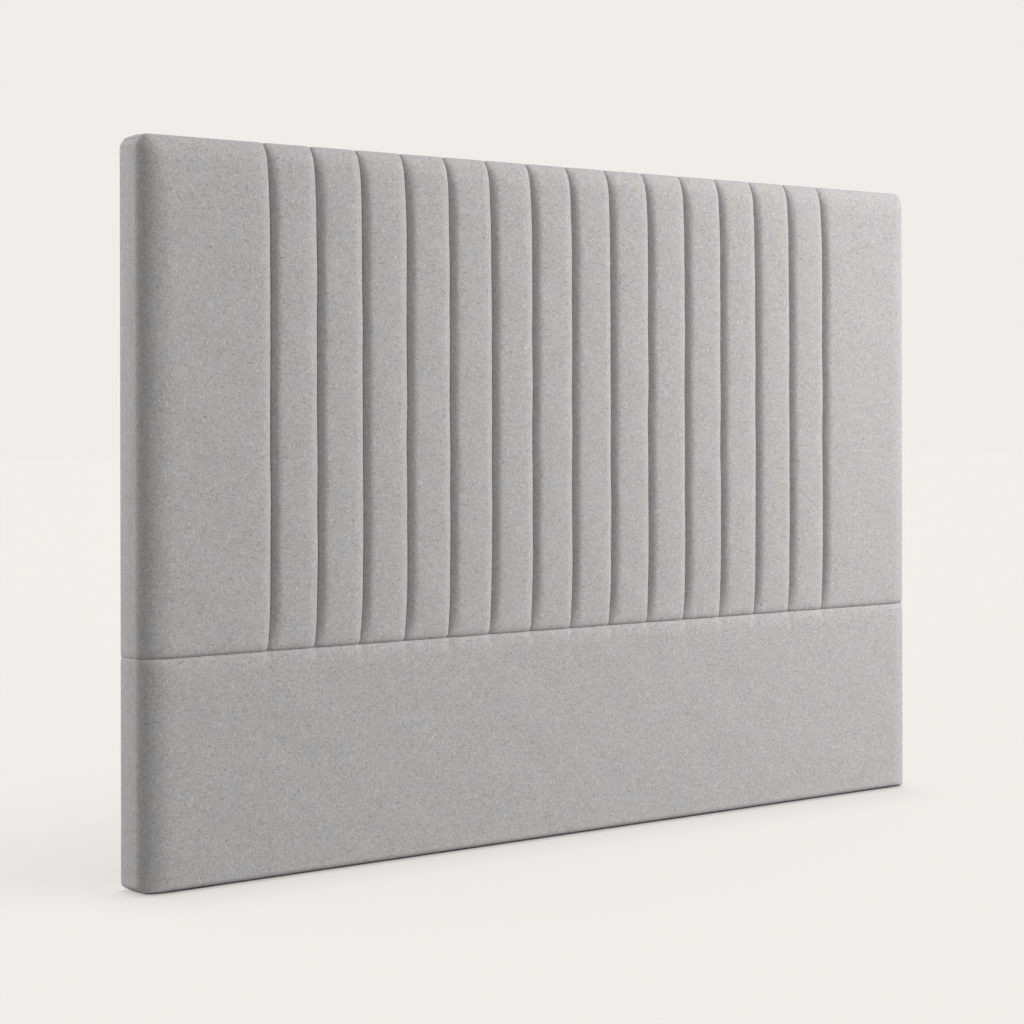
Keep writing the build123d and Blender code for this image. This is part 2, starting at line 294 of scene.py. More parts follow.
# %% Dart
DART_DEPTH = 3.4 * MM
DART_WIDTH = 3 * MM
DART_REACH = 15 * MM
DART_SLACK = 0.05 * MM
DART_INWARD_SHARE = 0.7
FOLD_DEPTH = 1.2 * MM
FOLD_SPACING = 9 * MM
FOLD_WIDTH = 11 * MM
FOLD_PLACE = 10 * MM
FOLD_REACH = 8 * MM


def dart(from_side, from_top):
    """Depth of the dart and its folds. The dart is a drop just under the mitre, on the side's
    part: it fades across the mitre, and along it as a bell curve. The folds are a sine across
    the mitre, times a bell curve each way about the place where the dart ends."""
    across = from_side - from_top
    along = (from_side + from_top) / 2
    under = np.where(across < -DART_SLACK, np.exp(np.minimum(across, 0) / DART_WIDTH), 0)
    dip = DART_DEPTH * under * np.exp(-((along / DART_REACH) ** 2))
    wave = np.sin(2 * np.pi * across / FOLD_SPACING + 0.9) * np.exp(-((across / FOLD_WIDTH) ** 2))
    return dip + FOLD_DEPTH * wave * np.exp(-(((along - FOLD_PLACE) / FOLD_REACH) ** 2))


print("dart depth under the mitre in mm:", round(float(dart(0.0, 0.1 * MM)) / MM, 2))

# %% [markdown]
# ## A panel as a grid
# A panel is a grid whose lines crowd together where the surface bends: at the seams and round the
# edges. Its rows and columns are lists of distances. At an outer corner of the board the square
# grid is bent onto a quarter circle, so the corner needs no pole.

# %% Rows and columns of a panel
SEAM_KIND = "seam"
CROWDING = 1.7
CROWDED_SHARE = 0.96
EDGE_RUN = 1.4
LINES_OVER_EDGE = 8


def near_seam(reach, gap, fine):
    """Distances from a seam out to a reach, in steps that grow evenly."""
    return gap + (reach - gap) * np.linspace(0, 1, fine) ** CROWDING


def near_edge(reach, width, fine):
    """Distances from a rounded edge: equal in angle round its ellipse, then in even steps."""
    angle = np.linspace(np.pi / 2, 0, fine + 2)
    even = np.arange(width, reach, width / LINES_OVER_EDGE)[1:]
    return np.concatenate([width * (1 - np.sin(angle)), even])


def stations(low, high, low_kind, high_kind, step, gap, fine):
    """Places from one edge of a panel to the other, crowded at both. A kind is a seam, or the
    width over which the lines of a rounded edge are crowded."""
    reach = CROWDED_SHARE * min(CROWN_HALF, (high - low) / 2)

    def places(kind):
        if kind == SEAM_KIND:
            return near_seam(reach, gap, fine)
        return near_edge(max(reach, EDGE_RUN * kind), kind, fine)

    first = low + places(low_kind)
    last = (high - places(high_kind))[::-1]
    count = max(int(round((last[0] - first[-1]) / step)), 1)
    middle = np.linspace(first[-1], last[0], count + 1)[1:-1]
    return np.concatenate([first, middle, last])


def corner_moves(from_side, from_end, radius):
    """How far a point moves inwards when the square corner becomes a quarter circle. With shares
    a and b of the radius, a becomes a times the root of one minus half of b squared."""
    a = np.clip(1 - from_side / radius, 0, 1)
    b = np.clip(1 - from_end / radius, 0, 1)
    return radius * a * (1 - np.sqrt(1 - b**2 / 2)), radius * b * (1 - np.sqrt(1 - a**2 / 2))


# %% A panel and its front


class Panel:
    """One panel of the cover: its four edges, and the surface of the front over it."""

    def __init__(self, name):
        low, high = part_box("cover_" + name)
        self.left, self.right, self.low, self.high = low[0], high[0], low[2], high[2]
        self.is_band = self.high < TOP - MM
        self.left_kind = CROWDED_EDGE if self.left < MM - SIDE else SEAM_KIND
        self.right_kind = CROWDED_EDGE if self.right > SIDE - MM else SEAM_KIND
        self.low_kind = BOTTOM_ROUND[0] if self.is_band else SEAM_KIND
        self.high_kind = SEAM_KIND if self.is_band else CROWDED_EDGE

    def with_seams(self, depth, x, z, from_end, from_band):
        """The depth with all upright seams added, the sideways shift of the cloth beside them,
        and the notch in the top edge. The band only feels their pull."""
        shift, notch = np.zeros((2, *x.shape))
        for index, place in enumerate(SEAMS):
            if self.is_band:
                pull = fading(from_band, (band_pull, BAND_PULL_REACH))
                depth = depth + pull * seam_share(np.abs(x - place + SEAM_LOW_LEAN[0]))
                continue
            distance = np.abs(x - place)
            fuller = np.where(x < place, FULLER_SIDE, 1)
            flank = seam_share(distance, shoulder(index, z) * fuller)
            depth = depth + seam_draw(from_end, from_band) * flank + ending(distance, NIP, 2)
            depth = depth + puckers(index, z, distance) * np.clip(from_end / PUCKER_EASE, 0, 1)
            shift = shift + fading(distance, (stray(index, z), STRAY_REACH))
            notch = notch + ending(distance, EDGE_NOTCH, 3)
        return depth, shift, notch

    def grid(self, step, gap, fine):
        """The front as a grid of points. The depths of the side and of the end are raised to a
        power, added, and brought back by its root, so that they blend. The level seam, the
        unevenness, the upright seams and the darts are added, and the outer corners bent round.
        Near the side the level seam and the unevenness grow calm."""
        columns = stations(self.left, self.right, self.left_kind, self.right_kind, step, gap, fine)
        rows = stations(self.low, self.high, self.low_kind, self.high_kind, step, gap, fine)
        x, z = np.meshgrid(columns, rows)
        from_side = SIDE - np.abs(x)
        from_end = z - BOTTOM if self.is_band else TOP - z
        from_band = np.abs(z - BAND_SEAM)
        side = ellipse_drop(from_side, SIDE_ROUND)
        end_size = BOTTOM_ROUND if self.is_band else TOP_ROUND
        end = ellipse_drop(from_end, end_size)
        side_share = (side / SIDE_ROUND[1]) ** 2
        end_share = (end / end_size[1]) ** 2
        end = end if self.is_band else top_drop(from_end)
        calm = 1 - side / SIDE_ROUND[1]
        groove = ending(from_band, BAND_BELOW if self.is_band else BAND_ABOVE, 3)
        depth = (side**BLEND_POWER + end**BLEND_POWER) ** (1 / BLEND_POWER) + groove * calm
        depth += (ending(from_band, NIP, 2) + puckers(len(SEAMS), x, from_band)) * calm
        depth += swell(x, z) * calm * np.clip(from_end / SWELL_EASE, 0, 1)
        depth, shift, notch = self.with_seams(depth, x, z, from_end, from_band)
        radius = BOTTOM_CORNER if self.is_band else TOP_CORNER
        move_side, move_end = corner_moves(from_side, from_end, radius)
        move_side += ending(from_band, EDGE_NOTCH, 3) * side_share
        move_end += notch * end_share
        if not self.is_band:
            fold = dart(from_side, from_end)
            depth += fold * (1 - np.maximum(side_share, end_share))
            move_side += fold * side_share * DART_INWARD_SHARE
            move_end += fold * end_share * DART_INWARD_SHARE
        new_x = x + shift - np.sign(x) * move_side
        new_z = z + (move_end if self.is_band else -move_end)
        return np.stack([new_x, FRONT + depth, new_z], axis=-1)


panels = {name: Panel(name) for name in PANELS}
print("seams:", len(SEAMS), "first at", round(SEAMS[0], 3), "last at", round(SEAMS[-1], 3))

# %% [markdown]
# ## From a grid to a mesh
# The front grid and the strip that runs round the board's edge to the back share their border
# points, so each panel is one piece of cloth. At a seam, the cloth turns in between its neighbours
# as a seam allowance, and so the seam shows as a real crease, not as a painted line.

# %% Mesh helpers


def numbered(rows, columns, start=0):
    """A grid of point numbers, row by row from a first number."""
    return start + np.arange(rows * columns).reshape(rows, columns)


def grid_quads(index):
    """The quads between the points of a grid of point numbers."""
    corners = [index[:-1, :-1], index[:-1, 1:], index[1:, 1:], index[1:, :-1]]
    return np.stack(corners, axis=-1).reshape(-1, 4)


def make_mesh(name, points, quads):
    """A smooth mesh object at the origin from arrays of points and quads."""
    mesh = bpy.data.meshes.new(name)
    mesh.vertices.add(len(points))
    mesh.vertices.foreach_set("co", np.asarray(points, dtype=np.float32).ravel())
    mesh.loops.add(quads.size)
    mesh.loops.foreach_set("vertex_index", quads.astype(np.int32).ravel())
    mesh.polygons.add(len(quads))
    mesh.polygons.foreach_set("loop_start", np.arange(len(quads), dtype=np.int32) * 4)
    mesh.update(calc_edges=True)
    mesh.validate()
    mesh.polygons.foreach_set("use_smooth", np.ones(len(mesh.polygons), dtype=bool))
    piece = bpy.data.objects.new(name, mesh)
    bpy.context.scene.collection.objects.link(piece)
    return piece


def unit(vectors):
    """The vectors made one long."""
    return vectors / np.maximum(np.linalg.norm(vectors, axis=1, keepdims=True), 1e-12)


def point_normals(points, quads):
    """The sum of the face normals round each point, made one long."""
    corners = points[quads]
    normals = np.cross(corners[:, 2] - corners[:, 0], corners[:, 3] - corners[:, 1])
    total = np.zeros_like(points)
    for corner in range(4):
        np.add.at(total, quads[:, corner], normals)
    return unit(total)


# %% [markdown]
# ## Round the edge to the back
# On the board's edge the cloth lies tight over thin wadding, so it swells by less than a millimetre
# there, with a soft turn onto the back. On the back it runs inwards as the stapled hem. Near a
# corner the hem's points are moved together, so the hem of one edge doesn't run into the next.

# %% The strip round the edge
BACK_TURN = 4 * MM
STRIP_ROWS = 16
TURN_ROWS = 5
HEM_ROWS = 7
HEM_GATHER = 150 * MM
EDGE_WAVE = 0.3 * MM
EDGE_WAVE_RUNS = (19, 23)
EDGE_SWELL = 0.8 * MM


def gathered(value, half):
    """Places along an edge moved in near its ends, evenly over the last stretch."""
    start = half - HEM_GATHER
    beyond = np.maximum(np.abs(value) - start, 0)
    share = (HEM_GATHER - HEM) / HEM_GATHER
    return np.sign(value) * (np.minimum(np.abs(value), start) + beyond * share)


def edge_strip(border):
    """The rows of cloth beyond a border of the front: back with a slight swell, round a small
    turn, and inwards as the hem. Each row has as many points as the border."""
    middle_z, half_z = (TOP + BOTTOM) / 2, (TOP - BOTTOM) / 2
    end = np.stack([gathered(border[:, 0], SIDE), gathered(border[:, 2] - middle_z, half_z)], -1)
    end[:, 1] += middle_z
    start = border[:, [0, 2]]
    inward = unit(end - start)
    flat_end = HEM_FACE - BACK_TURN
    run_x, run_z = EDGE_WAVE_RUNS
    wave = EDGE_WAVE * np.sin(run_x * border[:, 0] + run_z * border[:, 2]) - EDGE_SWELL
    rows = []

    def add_row(place, depth):
        rows.append(np.stack([place[:, 0], depth, place[:, 1]], axis=-1))

    for share in np.linspace(0, 1, STRIP_ROWS)[1:]:
        moved = start + inward * (wave * np.sin(np.pi * share))[:, None]
        add_row(moved, border[:, 1] + (flat_end - border[:, 1]) * share)
    for angle in np.linspace(0, np.pi / 2, TURN_ROWS)[1:]:
        turned = start + inward * BACK_TURN * (1 - np.cos(angle))
        add_row(turned, np.full(len(border), flat_end + BACK_TURN * np.sin(angle)))
    for share in np.linspace(0, 1, HEM_ROWS)[1:]:
        add_row(turned + (end - turned) * share, np.full(len(border), HEM_FACE))
    return np.array(rows)


# %% Seam allowances
TUCK_DEPTHS = np.array([0.4, 1.2, 3.0, 6.0]) * MM
SEAM_GAP = 0.45 * MM
TUCK_CLOSE = 0.3 * MM
SEAM_LINES = 15


def tuck_rows(points, normals, line, axis, into):
    """Rows of points that go in from a seam line: against the surface's normal, but kept in the
    plane of the seam, and a little towards the neighbour."""
    inward = -normals[line]
    inward[:, axis] = 0
    closer = np.zeros(3)
    closer[axis] = -into * TUCK_CLOSE
    return points[line] + unit(inward) * TUCK_DEPTHS[:, None, None] + closer


def panel_mesh(panel, step):
    """The whole panel: its front, the strip beyond its outer border, and its allowances."""
    grid = panel.grid(step, SEAM_GAP, SEAM_LINES)
    index = numbered(*grid.shape[:2])
    nothing = index[:0, 0]
    outer_left, outer_right = panel.left_kind != SEAM_KIND, panel.right_kind != SEAM_KIND
    if panel.is_band:
        border = np.concatenate([index[:0:-1, 0], index[0, :], index[1:, -1]])
    else:
        left = index[:-1, 0] if outer_left else nothing
        right = index[-2::-1, -1] if outer_right else nothing
        border = np.concatenate([left, index[-1, :], right])
    points = grid.reshape(-1, 3)
    strip = edge_strip(points[border])
    strip_index = np.concatenate([border[None], numbered(*strip.shape[:2], len(points))])
    strip_quads = grid_quads(strip_index)
    quads = [grid_quads(index), strip_quads[:, ::-1] if panel.is_band else strip_quads]
    points = np.concatenate([points, strip.reshape(-1, 3)])
    normals = point_normals(points, np.concatenate(quads))
    first_end, last_end = strip_index[1:, 0], strip_index[1:, -1]
    lines = []
    if not outer_left:
        lines.append((np.concatenate([index[:, 0], first_end]), 0, 1, True))
    if not outer_right:
        lines.append((np.concatenate([index[:, -1], last_end]), 0, -1, False))
    before = first_end[::-1] if outer_left else nothing
    after = last_end if outer_right else nothing
    level = np.concatenate([before, index[-1 if panel.is_band else 0, :], after])
    lines.append((level, 2, -1 if panel.is_band else 1, panel.is_band))
    for line, axis, into, turned in lines:
        rows = tuck_rows(points, normals, line, axis, into)
        faces = grid_quads(np.concatenate([line[None], numbered(*rows.shape[:2], len(points))]))
        quads.append(faces if turned else faces[:, ::-1])
        points = np.concatenate([points, rows.reshape(-1, 3)])
    return points, np.concatenate(quads)


# %% [markdown]
# ## The cover
# Each panel is a sheet of cloth that was cut flat and then stretched over the foam. The cut is as
# wide as the panel with its seam allowances, and it goes on round the board's edge to the hem. A
# Solidify modifier gives the cloth its thickness.

# %% Cover panels
CLOTH_STEP = 5 * MM


covers = {}
for name, panel in panels.items():
    piece = make_mesh("cloth_" + name, *panel_mesh(panel, CLOTH_STEP))
    wall = piece.modifiers.new("cloth thickness", "SOLIDIFY")
    wall.thickness = CLOTH
    wall.offset = -1
    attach(piece, "root")
    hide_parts("cover_" + name)
    covers[name] = piece

# %% [markdown]
# ## The foam pads
# A pad lies under each panel. Its front follows the cloth, one cloth thickness further in, and its
# back is flat on the board. It is made from the same grid with fewer lines, moved in along its own
# normals, and closed by a flat back and four walls. The pads stop short of the seams, where the
# seam allowances hang between them.

# %% Foam pads
PAD_GAP = 2.4 * MM
PAD_STEP = 14 * MM
PAD_LINES = 8
PAD_EASE = 0.2 * MM
PAD_LEAST = 0.5 * MM


def pad_mesh(panel):
    """A closed pad: the front grid moved in, a flat back under it, and a wall between the two."""
    grid = panel.grid(PAD_STEP, PAD_GAP, PAD_LINES)
    index = numbered(*grid.shape[:2])
    front_quads = grid_quads(index)
    front = grid.reshape(-1, 3)
    front = front - point_normals(front, front_quads) * (CLOTH + PAD_EASE)
    front[:, 1] = np.minimum(front[:, 1], PANEL_FRONT - PAD_LEAST)
    back = front.copy()
    back[:, 1] = PANEL_FRONT
    edge = np.concatenate([index[0, :], index[1:, -1], index[-1, -2::-1], index[-2::-1, 0]])
    wall = grid_quads(np.stack([edge, edge + index.size]))[:, ::-1]
    quads = [front_quads, front_quads[:, ::-1] + index.size, wall]
    return np.concatenate([front, back]), np.concatenate(quads)


pads = {}
for name, panel in panels.items():
    piece = make_mesh("pad_" + name, *pad_mesh(panel))
    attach(piece, "root")
    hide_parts("foam_" + name)
    pads[name] = piece
print("faces in one pad:", len(pads["channel_01"].data.polygons))

# %% [markdown]
# ## Wadding on the edges
# A strip of polyester wadding softens the timber edges under the cloth. It is a closed tube: a flat
# rounded loop carried along the edge, and at the top round both corners. The loop is a
# superellipse, which has a flat middle and round ends, and a slow wave changes its thickness.

# %% Closed tubes


def tube_quads(rings, sides):
    """Quads of a tube of rings, with both ends closed by strips from side to side of the ring."""
    index = numbered(rings, sides)
    wall = grid_quads(np.concatenate([index, index[:, :1]], axis=1))
    step = np.arange(sides // 2 - 1)
    cap = np.stack([step, step + 1, sides - 2 - step, sides - 1 - step], axis=-1)
    return np.concatenate([wall, cap[:, ::-1], cap + index[-1, 0]])


def outward(points, quads):
    """Turns all faces over if the volume that they enclose comes out negative."""
    corners = points[quads]
    first = np.einsum("ij,ij->i", corners[:, 0], np.cross(corners[:, 1], corners[:, 2]))
    second = np.einsum("ij,ij->i", corners[:, 0], np.cross(corners[:, 2], corners[:, 3]))
    return quads if first.sum() + second.sum() > 0 else quads[:, ::-1]


def tube(rings):
    """Points and quads of a closed tube from an array of rings, each an array of points."""
    points = rings.reshape(-1, 3)
    return points, outward(points, tube_quads(*rings.shape[:2]))


def superellipse(count, power):
    """Points round a loop: cosine and sine, each raised to the power with its sign kept."""
    angle = np.linspace(0, 2 * np.pi, count, endpoint=False)
    wide, thick = np.cos(angle), np.sin(angle)
    return np.sign(wide) * np.abs(wide) ** power, np.sign(thick) * np.abs(thick) ** power


# %% Wadding
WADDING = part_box("edge_wadding_left")[1][0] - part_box("edge_wadding_left")[0][0]
WADDING_POINTS = 90
WADDING_SIDES = 28
WADDING_WAVE = 0.06
WADDING_WAVE_RUNS = (31, 17)
WADDING_EASE = 0.5 * MM
WADDING_POWER = 0.35
WADDING_TURN_POINTS = 10


def wadding_line(side):
    """Points along the middle of a strip, and the directions that look outwards from them."""
    if side == "top":
        turn = np.linspace(0, np.pi / 2, WADDING_TURN_POINTS)[:, None]
        out = np.concatenate([np.sin(turn), np.cos(turn)], axis=1)
        right = np.array([SIDE, TOP]) - TOP_CORNER + out * (TOP_CORNER - CLOTH - WADDING / 2)
        left, mirror = right[::-1] * [-1, 1], out[::-1] * [-1, 1]
        run = np.linspace(left[-1], right[0], WADDING_POINTS)[1:-1]
        up = np.tile([0.0, 1.0], (len(run), 1))
        return np.concatenate([left, run, right]), np.concatenate([mirror, up, out])
    low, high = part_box("edge_wadding_" + side)
    z = np.linspace(low[2], high[2], WADDING_POINTS)
    x = np.full(len(z), (low[0] + high[0]) / 2)
    return np.stack([x, z], axis=-1), np.stack([np.sign(x), np.zeros(len(z))], axis=-1)


def wadding_mesh(side):
    """A flat rounded loop carried along the line, thin where a slow wave says so."""
    low, high = (np.array(corner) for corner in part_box("edge_wadding_" + side))
    line, out = wadding_line(side)
    wide_shape, thick_shape = superellipse(WADDING_SIDES, WADDING_POWER)
    share = np.linspace(-1, 1, len(line))[:, None]
    quick, slow = WADDING_WAVE_RUNS
    wave = 1 - WADDING_WAVE * (1 + np.sin(quick * share) * np.cos(slow * share + 1)) / 2
    reach = thick_shape * (WADDING / 2 - WADDING_EASE) * wave - WADDING_EASE
    rings = np.zeros((len(line), WADDING_SIDES, 3))
    rings[:, :, [0, 2]] = line[:, None] + out[:, None] * reach[..., None]
    rings[:, :, 1] = (low[1] + high[1]) / 2 + wide_shape * ((high[1] - low[1]) / 2 - WADDING_EASE)
    return tube(rings)


wadding = []
for side in ("left", "top", "right"):
    piece = make_mesh("wadding_" + side, *wadding_mesh(side))
    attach(piece, "root")
    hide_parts("edge_wadding_" + side)
    wadding.append(piece)
print("wadding strips:", len(wadding))

# %% [markdown]
# ## The dust cover
# A thin black sheet closes the open back. It has a window round each hanger plate, its edge is
# folded under, and between its staples it sags in a little over the open bays. The sheet is a grid
# with lines along the window's edges, so a window is made by leaving out the quads inside it.

# %% Dust cover
DUST_STEP = 9 * MM
DUST_FOLD = 12 * MM
DUST_FOLD_STEP = 1.5 * MM
DUST_FOLD_PROUD = 0.15 * MM
DUST_SAG = 0.8 * MM
DUST_SAG_CHANGE = 0.4
DUST_SAG_EASE = (55 * MM, 90 * MM)
WINDOW_SAG_EASE = (10 * MM, 60 * MM)
DUST_RIPPLE = 0.12 * MM
DUST_RIPPLE_LENGTH = 47 * MM
DUST_RIPPLE_REACH = 120 * MM
WINDOW_CLEARANCE = 2 * MM
windows = []
for side in ("left", "right"):
    low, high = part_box("hanger_plate_" + side)
    edges = np.array([low[0], high[0], low[2], high[2]])
    windows.append(edges + np.array([-1, 1, -1, 1]) * WINDOW_CLEARANCE)


def lines_between(stops, step):
    """Grid lines at each of the stops and evenly between them."""
    parts = [
        np.linspace(low, high, max(int(round((high - low) / step)), 1), endpoint=False)
        for low, high in zip(stops[:-1], stops[1:])
    ]
    return np.append(np.concatenate(parts), stops[-1])


def eased(distance, ease):
    """Nothing up to a start, and all of it after a run: a straight ramp between the two."""
    start, run = ease
    return np.clip((distance - start) / run, 0, 1)


def dust_mesh():
    """A grid with two windows. Its depth is flat along the stapled border and round the windows,
    and sags in between as the product of soft steps and slow waves."""
    low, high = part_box("dust_cover")
    fold_end = DUST_FOLD + DUST_FOLD_STEP
    fold = np.array([0, DUST_FOLD, fold_end])
    half_stops = np.concatenate([low[0] + fold, windows[0][:2]])
    x_lines = lines_between(np.concatenate([half_stops, -half_stops[::-1]]), DUST_STEP)
    z_stops = np.concatenate([low[2] + fold, windows[0][2:], high[2] - fold[::-1]])
    x, z = np.meshgrid(x_lines, lines_between(z_stops, DUST_STEP))
    inside = np.minimum(np.minimum(x - low[0], high[0] - x), np.minimum(z - low[2], high[2] - z))
    proud = DUST_FOLD_PROUD * np.clip((fold_end - inside) / DUST_FOLD_STEP, 0, 1)
    sag = DUST_SAG * eased(inside, DUST_SAG_EASE)
    for left, right, bottom, top in windows:
        beside = np.maximum(np.maximum(left - x, x - right), np.maximum(bottom - z, z - top))
        sag = sag * eased(beside, WINDOW_SAG_EASE)
    waves = np.sin(11 * x + 2) * np.sin(9 * z)
    sag = sag * (1 - DUST_SAG_CHANGE + DUST_SAG_CHANGE * waves)
    ripple = np.abs(np.sin(np.pi * (x + z) / DUST_RIPPLE_LENGTH))
    ripple = ripple * np.clip(1 - inside / DUST_RIPPLE_REACH, 0, 1)
    y = BACK + proud - sag - DUST_RIPPLE * ripple
    points = np.stack([x, y, z], axis=-1).reshape(-1, 3)
    quads = grid_quads(numbered(*x.shape))
    middle = points[quads].mean(axis=1)
    keep = np.ones(len(quads), dtype=bool)
    for left, right, bottom, top in windows:
        in_x = (middle[:, 0] > left) & (middle[:, 0] < right)
        keep &= ~(in_x & (middle[:, 2] > bottom) & (middle[:, 2] < top))
    quads = quads[keep][:, ::-1]
    used, new = np.unique(quads, return_inverse=True)
    return points[used], new.reshape(quads.shape)


dust_cover = make_mesh("dust_sheet", *dust_mesh())
wall = dust_cover.modifiers.new("sheet thickness", "SOLIDIFY")
wall.thickness = BACK - HEM_FACE
wall.offset = -1
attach(dust_cover, "root")
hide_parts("dust_cover")

# %% [markdown]
# ## Staples
# Staples hold the dust cover and the hem to the frame. A staple is a small ring of points carried
# along a bent wire: down one leg, across the crown and down the other leg. All are one piece, and
# each gets a slight turn of its own, as from a hand-held stapler.

# %% Staples
STAPLE_CROWN = 11 * MM
STAPLE_WIRE = (0.55 * MM, 0.3 * MM)
STAPLE_SPACING = 42 * MM
STAPLE_INSET = 7 * MM
STAPLE_LEG = 5 * MM
STAPLE_BEND = (0.5 * MM, 0.6 * MM)
STAPLE_BEND_TURNS = np.radians([0, 22, 68, 112, 158, 180])
STAPLE_FROM_CORNER = 15 * MM
STAPLE_ERRORS = (1.5 * MM, 0.7 * MM)
STAPLE_TWIST = np.radians(4)


def staple():
    """Rings along the wire, in a frame where the crown lies along x and the legs go to -y. The
    wire's cross-section is an ellipse, wide along z."""
    half = STAPLE_CROWN / 2
    bend_x, bend_y = STAPLE_BEND
    line = np.array([[-half, -STAPLE_LEG], [-half, -bend_y], [-half + bend_x, 0]])
    line = np.concatenate([line, line[::-1] * [-1, 1]])
    wide, thick = superellipse(8, 1)
    across = np.stack([-np.cos(STAPLE_BEND_TURNS), np.sin(STAPLE_BEND_TURNS)], axis=-1)
    rings = np.zeros((len(line), len(wide), 3))
    rings[:, :, 0] = line[:, :1] + across[:, :1] * thick * STAPLE_WIRE[1]
    rings[:, :, 1] = line[:, 1:] + across[:, 1:] * thick * STAPLE_WIRE[1]
    rings[:, :, 2] = wide * STAPLE_WIRE[0]
    return tube(rings)


def staple_places():
    """Places and turns of the staples along the four edges of the dust cover, an even distance
    apart, with a small random error."""
    low, high = (np.array(corner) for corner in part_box("dust_cover"))
    low, high = low + STAPLE_INSET, high - STAPLE_INSET
    places, turns = [], []
    for along, across in ((0, 2), (2, 0)):
        first, last = low[along] + STAPLE_FROM_CORNER, high[along] - STAPLE_FROM_CORNER
        count = int((last - first) / STAPLE_SPACING) + 1
        for edge in (low[across], high[across]):
            part = np.full((count, 3), BACK + DUST_FOLD_PROUD)
            part[:, along] = np.linspace(first, last, count)
            part[:, along] += random.normal(0, STAPLE_ERRORS[0], count)
            part[:, across] = edge + random.normal(0, STAPLE_ERRORS[1], count)
            places.append(part)
            turns.append(random.normal(np.radians(90 * (along == 2)), STAPLE_TWIST, count))
    return np.concatenate(places), np.concatenate(turns)


def repeated(points, quads, places, turns):
    """Copies of a small mesh, each turned about y by its own angle and moved to its place."""
    cos, sin = np.cos(turns)[:, None], np.sin(turns)[:, None]
    x = cos * points[:, 0] + sin * points[:, 2] + places[:, :1]
    y = points[:, 1] + places[:, 1:2]
    z = -sin * points[:, 0] + cos * points[:, 2] + places[:, 2:]
    copies = np.stack([x, y, z], axis=-1).reshape(-1, 3)
    starts = np.arange(len(places))[:, None, None] * len(points)
    return copies, (quads[None] + starts).reshape(-1, 4)


staples = make_mesh("staples", *repeated(*staple(), *staple_places()))
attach(staples, "root")
print("faces of all staples:", len(staples.data.polygons))

# %% [markdown]
# ## Screws with a cross recess
# The screws of the hanger plates and of the glides show their heads. A countersunk screw is a
# profile turned about its axis: a flat head with the cross cut into it, a cone, and a shank with a
# thread. The recess is a depth taken from the head's face, by the distance from the nearest arm
# of the cross.

# %% Screws
SCREW_HEAD = (4 * MM, 1.6 * MM)
SCREW_SHANK = 2 * MM
SCREW_LENGTH = 25 * MM
SCREW_SIDES = 48
CROSS_ARM = (0.62 * MM, 2.3 * MM)
CROSS_DEPTH = 1.2 * MM
CROSS_EASE = (0.25 * MM, 0.9 * MM)
HEAD_RIM = 0.12 * MM
HEAD_RINGS = (0.06, 0.97, 15)
THREAD_RUN_OUT = (1 * MM, 4 * MM)
TIP_RADIUS = 0.3 * MM
HEAD_PROUD = 0.1 * MM
PLATE_SCREW_INSET = 9 * MM
GLIDE_SCREW_SPACING = 30 * MM
GLIDE_HALF_LENGTH = 30 * MM
THREAD_PITCH = 1.8 * MM
THREAD_DEPTH = 0.14


def screw():
    """Rings round the y axis, from the middle of the head's face outwards, down the cone and
    along the thread. The face is at y = 0 and looks to +y."""
    radius, height = SCREW_HEAD
    face = np.linspace(*HEAD_RINGS) * radius
    after_head, before_tip = THREAD_RUN_OUT
    thread_y = np.arange(height + after_head, SCREW_LENGTH - before_tip, THREAD_PITCH / 4)
    waves = np.cos(2 * np.pi * thread_y / THREAD_PITCH)
    thread_r = SCREW_SHANK * (1 - THREAD_DEPTH + THREAD_DEPTH * waves)
    cone_r = [radius, radius * 0.98, SCREW_SHANK * 1.05]
    cone_y = [HEAD_RIM, 2.5 * HEAD_RIM, height]
    radii = np.concatenate([face, cone_r, thread_r, [TIP_RADIUS]])[:, None]
    depths = np.concatenate([np.zeros(len(face)), cone_y, thread_y, [SCREW_LENGTH]])[:, None]
    angle = np.linspace(0, 2 * np.pi, SCREW_SIDES, endpoint=False)
    x, z = radii * np.cos(angle), radii * np.sin(angle)
    from_arm = np.minimum(np.abs(x), np.abs(z))
    width, reach = CROSS_ARM
    in_arm = np.clip((width - from_arm) / CROSS_EASE[0] + 0.5, 0, 1)
    in_reach = np.clip((reach - radii) / CROSS_EASE[1], 0, 1)
    y = -depths - CROSS_DEPTH * in_arm * in_reach * (depths == 0)
    return tube(np.stack([x, y, z], axis=-1))


def plate_screw_places():
    """One screw near each corner of each hanger plate."""
    places = []
    for side in ("left", "right"):
        low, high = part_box("hanger_plate_" + side)
        for x in (low[0] + PLATE_SCREW_INSET, high[0] - PLATE_SCREW_INSET):
            for z in (low[2] + PLATE_SCREW_INSET, high[2] - PLATE_SCREW_INSET):
                places.append((x, BACK, z))
    return np.array(places)


def glide_screw_places():
    """Two screws side by side up into each of the four glides, as seen from below."""
    low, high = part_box("floor_glides")
    screws_low, screws_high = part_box("glide_screws")
    middles = np.linspace(low[0] + GLIDE_HALF_LENGTH, high[0] - GLIDE_HALF_LENGTH, 4)
    x = (middles[:, None] + np.array([-0.5, 0.5]) * GLIDE_SCREW_SPACING).ravel()
    depth = (screws_low[1] + screws_high[1]) / 2
    return np.stack([x, np.zeros(len(x)), np.full(len(x), depth)], axis=-1)


